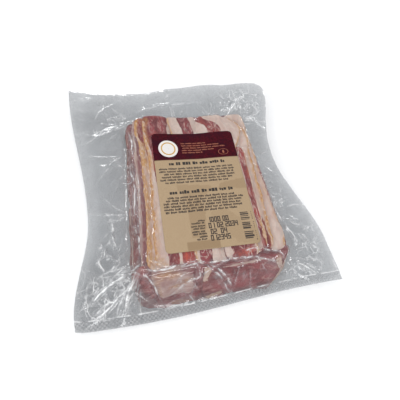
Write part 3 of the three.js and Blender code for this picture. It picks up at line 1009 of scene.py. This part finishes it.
def label_cover(x, y, margin):
    """1 under the label, falling to 0 over a margin outside it."""
    u, v = label_axes(x, y)
    outside = np.maximum(np.abs(u) - LABEL_SIZE[0] / 2, np.abs(v) - LABEL_SIZE[1] / 2)
    return smooth(1 - outside / margin)


def label_frame():
    """Size, centre and axes of the CAD label: those of the smallest turned box round its plan."""
    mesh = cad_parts[LABEL].data
    plan = np.array([[*(v.co.xy / MM)] for v in mesh.vertices])
    tried = []
    for turn in np.radians(np.arange(-8, 8.05, 0.1)):
        axes = np.array([direction(turn), direction(turn + math.pi / 2)])
        low, high = (plan @ axes.T).min(0), (plan @ axes.T).max(0)
        tried.append((high - low, (low + high) / 2 @ axes, axes))
    return min(tried, key=lambda found: np.prod(found[0]))


LABEL_SIZE, LABEL_CENTRE, LABEL_AXES = label_frame()


def label_axes(x, y):
    """Places on the label, measured from its centre, from plan points."""
    return [(x - LABEL_CENTRE[0]) * across + (y - LABEL_CENTRE[1]) * along for across, along in LABEL_AXES]


def plan_from_label(u, v):
    """Plan points from places on the label."""
    return [LABEL_CENTRE[k] + u * LABEL_AXES[0, k] + v * LABEL_AXES[1, k] for k in (0, 1)]


def drawn_film():
    """The film's height where it lies tight over the slices, and its slack height elsewhere."""
    slack = cad_top.blurred(2.5).values
    hug = blur(spread(content.values, 1.5), 1.3) + FILM_GAP
    tight = np.maximum(hug, slack - 2.4)
    height = blend(slack, np.minimum(tight, slack + 1.0), block_share.values)
    x, y = ceiling.mesh()
    even = blur(np.maximum(height, slack - 1.0), 5.0)
    return cad_top.like(blend(height, even, label_cover(x, y, LABEL_MARGIN)))


film_height = drawn_film()


def film_relief(x, y):
    """Height added by creases and crumples, how crumpled the film is, and the painted highlights on its creases,
    crumples and faint wrinkles.
    """
    free = 1 - label_cover(x, y, 4.0)
    crumple, weight, crumple_glint = crumple_relief(x, y)
    crease, crease_glint = crease_relief(x, y)
    flange = 1 - block_share(x, y)
    gentle = 0.6 * layered_noise(x, y, 26, 67) * flange
    wrinkle = noise(x + 2 * noise(x, y, 20, 81), y + 2 * noise(x, y, 20, 82), 16, 83)
    faint = np.exp(-((wrinkle / 0.035) ** 2)) * smooth(0.3 + noise(x, y, 30, 84))
    relief = crease + crumple * (0.35 + 0.65 * flange) + gentle + 0.5 * faint
    # Painted highlight: white on the creases, the crumple ridges and the faint wrinkle network.
    white = np.maximum(np.maximum(crease_glint, 0.75 * crumple_glint), 0.30 * faint)
    return free * relief, free * weight, free * white


def film_sheet(name, material, x, y, z, looks, flip=False):
    rows, columns = x.shape
    values = {key: np.ravel(value + 0 * x) for key, value in looks.items()}
    faces = grid_faces(rows, columns, flip=flip)
    piece = add_mesh(name, np.stack([x, y, z], -1).reshape(-1, 3), faces, values)
    piece.data.materials.append(material)
    return piece


def flange_haze(x, y):
    """The haze of the slack film, denser at the left, the near end and the left corners, with soft blotches of
    painted shade.
    """
    # Painted shade: the two noises darken the film in soft blotches that stand in for the shading of gentle folds.
    haze = FLANGE_HAZE + 0.05 * layered_noise(x, y, 34, 71) + 0.03 * noise(x, 0.5 * y, 9, 73)
    haze = haze + 0.05 * smooth((-x - 40) / 60) + 0.03 * smooth((-y - 60) / 60)
    return haze + 0.07 * smooth((40 - x) / 100) * smooth((np.abs(y) - 50) / 50)


def make_film():
    film = film_material()
    x, y = plan_grid(FILM_COLUMNS, FILM_ROWS)
    relief, weight, white = film_relief(x, y)
    from_seal = y - np.interp(x, rim[0][:, 0], rim[0][:, 1])
    seal = smooth((SEAL_DEPTH - from_seal) / 1.2)
    z = film_height(x, y) + relief * (1 - 0.85 * seal)
    z = np.where(label_cover(x, y, LABEL_MARGIN) > 0, z, np.maximum(z, over_content(x, y)))
    haze = flange_haze(x, y) + SEAL_HAZE * seal + CRUMPLE_HAZE * weight
    gap = smooth((film_height(x, y) - content(x, y) - 1.5) / 5)
    haze = blend(haze, TIGHT_HAZE + GAP_HAZE * gap, block_share(x, y))
    # Painted highlight: a white line along the seal's inner edge, joined to the painted highlights of the creases
    # and crumples.
    seam = np.exp(-(((from_seal - SEAL_DEPTH) / 0.7) ** 2)) * smooth(0.7 + noise(x, y, 9, 72))
    white = np.maximum(white * (1 - 0.8 * seal), 0.5 * seam)
    crinkle = np.clip(0.16 + 0.85 * weight, 0, 1)
    looks = {"haze": haze, "seal": seal, "painted_glint": white, "crinkle": crinkle}
    upper = film_sheet("film_top", film, x, y, z, looks)

    x, y = plan_grid(UNDER_COLUMNS, UNDER_ROWS)
    inside = block_share(x, y)
    lifted = cad_bottom.blurred(1.5)(x, y) + (FLANGE_THICKNESS - FLANGE_GAP) * (1 - inside)
    flange_z = film_height(x, y) + film_relief(x, y)[0] - FLANGE_GAP
    z = np.maximum(blend(flange_z, lifted, smooth(3 * inside)), FILM_FLOOR)
    z = blend(z, FILM_FLOOR, tucked(x, y))
    looks = {"haze": UNDER_HAZE, "seal": 0.0, "painted_glint": 0.0, "crinkle": 0.1}
    lower = film_sheet("film_bottom", film, x, y, z, looks, flip=True)
    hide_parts(BAG)
    for piece in (upper, lower):
        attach(piece, BODY)


make_film()


# ---- the label

LABEL_STEP = 1.25
LABEL_LIFT = 0.12
PAPER_THICKNESS = 0.2
LABEL_CORNER = 5.0
HEADER_DEPTH = 39.5
PRINT_LIFT = 0.05
PRINT_ROOT = 0.02

# Tone-on-tone shapes on the tan paper, as corners measured from the label's centre, and their darkness
SHADES = [
    ([(-29, 2), (9, -2), (9, -7), (-6, -19), (-24, -12), (-24, -6), (-29, -6)], 0.35),
    ([(20, 0), (50, 5), (50, -9), (17, -7)], 0.42),
    ([(-22, -14), (-6, -19), (-3, -35), (-7, -62), (-22, -62)], 0.42),
    ([(2, -35), (20, -32), (50, -60), (50, -75), (26, -72), (9, -50)], 0.22),
    ([(-28, -65), (6, -65), (6, -75), (-28, -75)], 0.70),
]


def inside_polygon(u, v, corners):
    """Whether points lie inside a polygon, by crossings."""
    inside = np.zeros(u.shape, bool)
    for (au, av), (bu, bv) in zip(corners, corners[1:] + corners[:1]):
        crosses = (av > v) != (bv > v)
        at = au + (v - av) * (bu - au) / ((bv - av) or 1e-9)
        inside ^= crosses & (u < at)
    return inside


def rounded_label_grid():
    half_u, half_v = LABEL_SIZE / 2
    columns = int(LABEL_SIZE[0] / LABEL_STEP)
    rows = int(LABEL_SIZE[1] / LABEL_STEP)
    u, v = np.meshgrid(np.linspace(-half_u, half_u, columns), np.linspace(-half_v, half_v, rows))
    du = np.abs(u) - (half_u - LABEL_CORNER)
    dv = np.abs(v) - (half_v - LABEL_CORNER)
    corner = (du > 0) & (dv > 0)
    pull = np.where(corner, np.maximum(du, dv) / np.maximum(np.hypot(du, dv), 1e-9), 1.0)
    u = np.where(corner, np.sign(u) * (half_u - LABEL_CORNER + du * pull), u)
    v = np.where(corner, np.sign(v) * (half_v - LABEL_CORNER + dv * pull), v)
    return u, v


def label_height(x, y):
    return film_height(x, y) + LABEL_LIFT + PAPER_THICKNESS


def make_label():
    u, v = rounded_label_grid()
    x, y = plan_from_label(u, v)
    z = label_height(x, y)
    top = np.stack([x, y, z], -1)
    bottom = np.stack([x, y, z - PAPER_THICKNESS], -1)
    points, faces = closed_sheet(top, bottom)
    header = (v > LABEL_SIZE[1] / 2 - HEADER_DEPTH).astype(float)
    shade = np.zeros_like(u)
    for corners, strength in SHADES:
        shade = np.maximum(shade, strength * inside_polygon(u, v, corners))
    piece = add_mesh("label_paper", points, faces, {"header": twice(header), "shade": twice(shade)})
    piece.data.materials.append(paper_material())
    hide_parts(LABEL)
    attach(piece, BODY)


make_label()


DARK = (44, 36, 34)
GOLD = (150, 84, 60)
WHITE = (228, 224, 220)
BADGE_CENTRE = (-32, 52)
SMALL_BADGE_CENTRE = (33.5, 43.5)
BADGE_GOLD = (196, 150, 62)

# Lines of small print: left end, right end, height of the line's middle, and height of its letters
SMALL_PRINT = [
    (-46, 40, 23.0), (-46, 41, 19.3), (-41, 39, 15.6), (-44, 41, 11.9), (-46, 36, 8.2), (-41, 30, 4.5),
    (-41, 34, -14.6), (-43, 42, -18.0), (-46, 40, -21.4), (-46, 38, -24.8), (-46, 41, -28.2),
    (-45, 33, -31.6),
]
TITLES = [
    (-34, 31, 30.0), (-38, 35, -8.0),
]
GOLD_LINES = [
    (-16, 14, 59.5), (-16, 30, 56.0), (-15, 37, 52.5), (-16, 22, 49.0), (-16, 8, 45.5),
]
CAPTIONS = [
    (-13, -6.5, -43.6), (-20, -6.5, -46.2), (-21, -6.5, -49.6), (-19, -6.5, -52.2), (-21, -6.5, -55.6),
    (-20, -6.5, -58.2), (-14, -6.5, -61.4), (-17, -6.5, -64.0),
]
NUMBERS = [
    ("1000 00", -2.0, -43.5), ("01 02 2034", -2.0, -50.2), ("02  04", -1.0, -57.0), ("012345", -2.0, -63.8),
]
NUMBER_GAP = 1.5
CODE_STROKES = [
    (-39, 1.0), (-41, 1.6), (-43.2, 0.8), (-45.4, 1.2), (-47.2, 0.7), (-51, 1.1), (-53, 1.6), (-55, 0.8),
    (-57, 1.9), (-61.5, 1.0), (-63.6, 1.3), (-66, 2.1), (-68.2, 1.2),
]

# The strokes of the plain numbers, in a box of 1 by 1: top, middle and base, then each side's halves
STROKES = {"t": (0, 1, 1, 1), "m": (0, 0.5, 1, 0.5), "b": (0, 0, 1, 0), "l": (0, 0.5, 0, 1),
           "k": (0, 0, 0, 0.5), "r": (1, 0.5, 1, 1), "q": (1, 0, 1, 0.5)}
NUMBER_STROKES = {"0": "tblkrq", "1": "rq", "2": "trmkb", "3": "trmqb", "4": "lmrq", "5": "tlmqb"}


class Print:
    """Thin marks laid on the label, gathered into one mesh."""

    def __init__(self):
        self.points, self.faces, self.inks, self.count = [], [], [], 0

    def lay(self, u, v, tone, lift):
        """A closed slab over a grid of places on the label."""
        x, y = plan_from_label(u, v)
        z = label_height(x, y)
        points, faces = closed_sheet(np.stack([x, y, z + lift], -1), np.stack([x, y, z - PRINT_ROOT], -1))
        self.points.append(points)
        self.faces.append(faces + self.count)
        self.inks.append(np.tile(colour(*tone)[:3], (len(points), 1)))
        self.count += len(points)

    def bar(self, left, right, middle, height, tone=DARK):
        columns = max(2, int((right - left) / 2.0) + 1)
        u, v = np.meshgrid(np.linspace(left, right, columns), (middle - height / 2, middle + height / 2))
        self.lay(u, v, tone, PRINT_LIFT)

    def words(self, left, right, middle, height, rng, tone=DARK, letter=0.62):
        """A line of word-like dashes made of short uneven strokes."""
        at = left
        while at < right - 1:
            end = min(right, at + rng.uniform(3.0, 10.0))
            while at < end:
                width = rng.uniform(0.45, 0.85) * height * letter
                tall = height * rng.choice([0.72, 0.72, 1.0])
                self.bar(at, at + width, middle - (height - tall) / 2 * rng.choice([0, 1]), tall, tone)
                at += width + 0.12 * height
            at += 0.5 * height

    def number(self, text, left, base, width, height, stroke):
        half = stroke / 2
        for character in text:
            for ua, va, ub, vb in (STROKES[name] for name in NUMBER_STROKES.get(character, "")):
                u, v = np.meshgrid((left + ua * width - half, left + ub * width + half),
                                   (base + va * height - half, base + vb * height + half))
                self.lay(u, v, DARK, PRINT_LIFT)
            left += (width + NUMBER_GAP) * (1.0 if character != " " else 0.5)

    def patch(self, centre, outline, tone, lift, inner=0.02):
        """A star-shaped patch, from inner times its outline out to its outline."""
        ring = np.linspace(inner, 1, 8)[:, None]
        closed = np.concatenate([outline, outline[:1]])
        u = centre[0] + ring * closed[:, 0][None]
        v = centre[1] + ring * closed[:, 1][None]
        self.lay(u[::-1], v[::-1], tone, lift)


def oval(half_u, half_v, count=48):
    turn = np.linspace(0, 2 * np.pi, count, endpoint=False)
    return np.stack([half_u * np.cos(turn), half_v * np.sin(turn)], 1)


def make_print():
    rng = np.random.default_rng(5)
    marks = Print()
    for left, right, middle in SMALL_PRINT:
        marks.words(left, right, middle, 2.5, rng)
    for left, right, middle in TITLES:
        marks.words(left, right, middle, 4.2, rng, (24, 20, 20), 0.9)
    for left, right, middle in GOLD_LINES:
        marks.words(left, right, middle, 1.9, rng, GOLD)
    for left, right, middle in CAPTIONS:
        marks.words(left, right, middle, 2.0, rng)
    for text, left, middle in NUMBERS:
        marks.number(text, left, middle - 2.5, 2.1, 5.0, 1.05)
    for middle, height in CODE_STROKES:
        marks.bar(34.0, 34.0 + rng.uniform(8, 11), middle, height)
        marks.bar(46.5, 46.5 + rng.uniform(0.6, 1.2), middle, 0.8)
    marks.bar(46, 47.2, -70.5, 1.2)
    marks.patch(BADGE_CENTRE, oval(11.5, 12.4), WHITE, 0.04)
    marks.patch(BADGE_CENTRE, oval(8.6, 9.4), BADGE_GOLD, 0.08, inner=0.84)
    marks.patch(SMALL_BADGE_CENTRE, oval(6.2, 4.4), GOLD, 0.05, inner=0.9)
    marks.patch(SMALL_BADGE_CENTRE, oval(1.2, 2.4), GOLD, 0.05)
    ink = np.concatenate(marks.inks)
    points, faces = np.concatenate(marks.points), np.concatenate(marks.faces)
    piece = add_mesh("label_print", points, faces, {"ink": ink}, flat=True)
    piece.data.materials.append(ink_material())
    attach(piece, BODY)


make_print()


# ---- stage, light and camera

FLOOR_SIZE = 3000.0
FLOOR_STEPS = 24
FLOOR_DROP = 0.02


def make_floor():
    line = np.linspace(-FLOOR_SIZE / 2, FLOOR_SIZE / 2, FLOOR_STEPS)
    x, y = np.meshgrid(line, line)
    points = np.stack([x, y, np.full_like(x, -FLOOR_DROP)], -1).reshape(-1, 3)
    floor = add_mesh("floor", points, grid_faces(FLOOR_STEPS, FLOOR_STEPS))
    floor.data.materials.append(floor_material())


make_floor()


def add_light(name, place, size, watts):
    """A soft box at a place, facing the middle of the pack."""
    light = bpy.data.lights.new(name, "AREA")
    light.shape = "RECTANGLE"
    light.size, light.size_y = size[0] * MM, size[1] * MM
    light.energy = watts
    item = bpy.data.objects.new(name, light)
    bpy.context.scene.collection.objects.link(item)
    item.location = place * MM
    item.rotation_euler = (-place).to_track_quat("-Z", "Y").to_euler()


# Low soft boxes all round: flat film mirrors none of them to the camera, and every crease catches one
LIGHT_RING = 1250.0
for name, turn, rise, size, watts in (
    ("softbox_far", 100, 24, (420, 120), 2.2),
    ("softbox_far_left", 150, 30, (200, 200), 2.0),
    ("softbox_left", 200, 28, (420, 140), 2.4),
    ("softbox_near", 262, 58, (600, 420), 4.2),
    ("softbox_right", 340, 28, (380, 120), 2.2),
    ("softbox_far_right", 40, 18, (300, 100), 1.0),
):
    flat = direction(math.radians(turn)) * math.cos(math.radians(rise))
    add_light(name, LIGHT_RING * Vector((*flat, math.sin(math.radians(rise)))), size, watts)

world = bpy.data.worlds.new("pale_room")
world.use_nodes = True
room = world.node_tree.nodes["Background"]
room.inputs["Color"].default_value = (0.97, 0.98, 1.0, 1.0)
room.inputs["Strength"].default_value = 0.66
bpy.context.scene.world = world
bpy.context.scene.view_settings.view_transform = "Standard"

# The camera looks down at the pack from its near end, a little from the left, and is rolled a little
CAMERA_DISTANCE = 363.8
CAMERA_RISE = math.radians(60.59)
CAMERA_TURN = math.radians(26.42)
CAMERA_ROLL = math.radians(16.88)
CAMERA_SLIDE = (2.4, -1.6)
CAMERA_AIM = (3.3, -24.9)
LENS = 27.0
SENSOR = 36.0


def make_camera():
    """A camera CAMERA_DISTANCE from CAMERA_AIM, slid across its view and then rolled about it."""
    axes = Matrix.Rotation(-CAMERA_TURN, 4, "Z") @ Matrix.Rotation(math.pi / 2 - CAMERA_RISE, 4, "X")
    place = Vector((*CAMERA_AIM, 0)) + axes @ Vector((*CAMERA_SLIDE, CAMERA_DISTANCE))
    camera = bpy.data.cameras.new("camera")
    camera.lens, camera.sensor_width = LENS, SENSOR
    camera.clip_start = 0.01
    item = bpy.data.objects.new("camera", camera)
    bpy.context.scene.collection.objects.link(item)
    item.matrix_world = Matrix.Translation(place * MM) @ axes @ Matrix.Rotation(CAMERA_ROLL, 4, "Z")
    bpy.context.scene.camera = item


make_camera()

bpy.context.view_layer.update()
